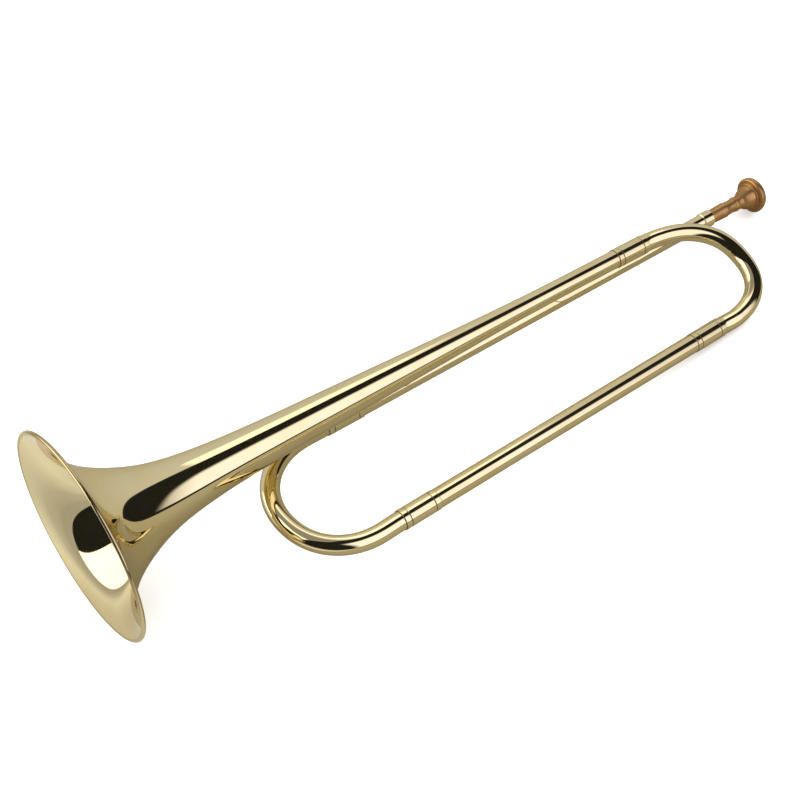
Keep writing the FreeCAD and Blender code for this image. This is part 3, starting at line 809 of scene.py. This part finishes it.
# lit most just to the left of the bell, less far off and in front
left_l = net.sub(net.lin(wx, -0.310, -0.350, 0.50, 0.298), net.lin(wx, -0.350, -0.430, 0.0, 0.075))
left = net.vm("SCALE", (1.0, 1.015, 1.07), None)
net.put(left.node.inputs["Scale"], left_l)
bounced = net.mix(net.step(wy, 0.0, 0.10), (0.236, 0.223, 0.187), (0.300, 0.298, 0.290))
bounced = net.mix(net.step(wx, -0.235, -0.275), bounced, left)
net.put(dif.inputs["Color"], net.mix(lp.outputs["Is Camera Ray"], bounced, seen))
t.links.new(dif.outputs[0], out.inputs[0])
floor.data.materials.append(fm)

# Soft studio: a white sweep behind, a softbox over it and one on the near side,
# with a dark gap between them. Written as one world, so it is even and noise-free.
w = bpy.data.worlds.new("studio")
bpy.context.scene.world = w
w.use_nodes = True
t = w.node_tree
t.nodes.clear()
net = Net(t)
out = net.node("ShaderNodeOutputWorld")
bg = net.node("ShaderNodeBackground")
t.links.new(bg.outputs[0], out.inputs[0])
lp = net.node("ShaderNodeLightPath")
D = net.vm("NORMALIZE", net.node("ShaderNodeTexCoord").outputs["Generated"])
sep = net.node("ShaderNodeSeparateXYZ")
t.links.new(D, sep.inputs[0])
x, y, z = sep.outputs
# far side of the gap: everything with y above a slightly tilted plane
right_part = net.step(x, -0.2, 0.2)
edge_a = net.sub(y, net.mixf(right_part, net.sub(0.20, net.mul(z, 0.20)), net.add(-0.04, net.mul(z, 0.23))))
far = net.step(edge_a, -0.008, 0.012)
sweep_l = net.lin(z, 0.0, 0.75, 0.565, 0.635)                                 # the white sweep
box_over = net.mul(net.mul(net.step(z, 0.655, 0.685), net.step(x, 0.585, 0.55)), net.step(x, 0.22, 0.34))   # softbox overhead
box_left = net.mul(net.step(x, -0.30, -0.44), net.step(z, 0.80, 0.70))    # softbox on the left
shade = net.mul(net.step(x, 0.28, 0.10), net.step(z, 0.60, 0.70))         # darker ceiling beside it
a_l = net.mixf(shade, sweep_l, 0.28)
a_l = net.mixf(box_over, a_l, 1.34)
a_l = net.mixf(box_left, a_l, 2.0)
# near side of the gap: a softbox with a feathered edge
edge_b = net.sub(net.mul(y, -1.0), net.lin(x, 0.55, 0.85, 0.0, 0.18))
near = net.mul(net.step(edge_b, 0.33, 0.51), net.step(x, -0.35, -0.15))
near = net.mul(near, net.step(z, 0.0, 0.03))
near = net.mul(near, net.lin(x, 0.56, 0.80, 1.0, 0.45))
dark = 0.013
lum = net.add(dark, net.add(net.mul(far, a_l), net.mul(near, 1.20)))
lum = net.mul(lum, 1.0)
warm = net.mix(near, (1.0, 1.005, 1.055), (1.0, 1.005, 1.25))
glossy = net.node("ShaderNodeVectorMath", operation="SCALE")
net.put(glossy.inputs[0], warm)
net.put(glossy.inputs["Scale"], lum)
soft = (1.95, 1.95, 1.95)
pick = net.mix(lp.outputs["Is Glossy Ray"], soft, glossy.outputs[0])
pick = net.mix(lp.outputs["Is Camera Ray"], pick, (1.0, 1.0, 1.0))
net.put(bg.inputs["Color"], pick)
bg.inputs["Strength"].default_value = 1.0

bpy.context.scene.view_settings.view_transform = "Standard"
bpy.context.scene.view_settings.look = "None"
bpy.context.scene.view_settings.exposure = 0.0
bpy.context.scene.view_settings.gamma = 1.0
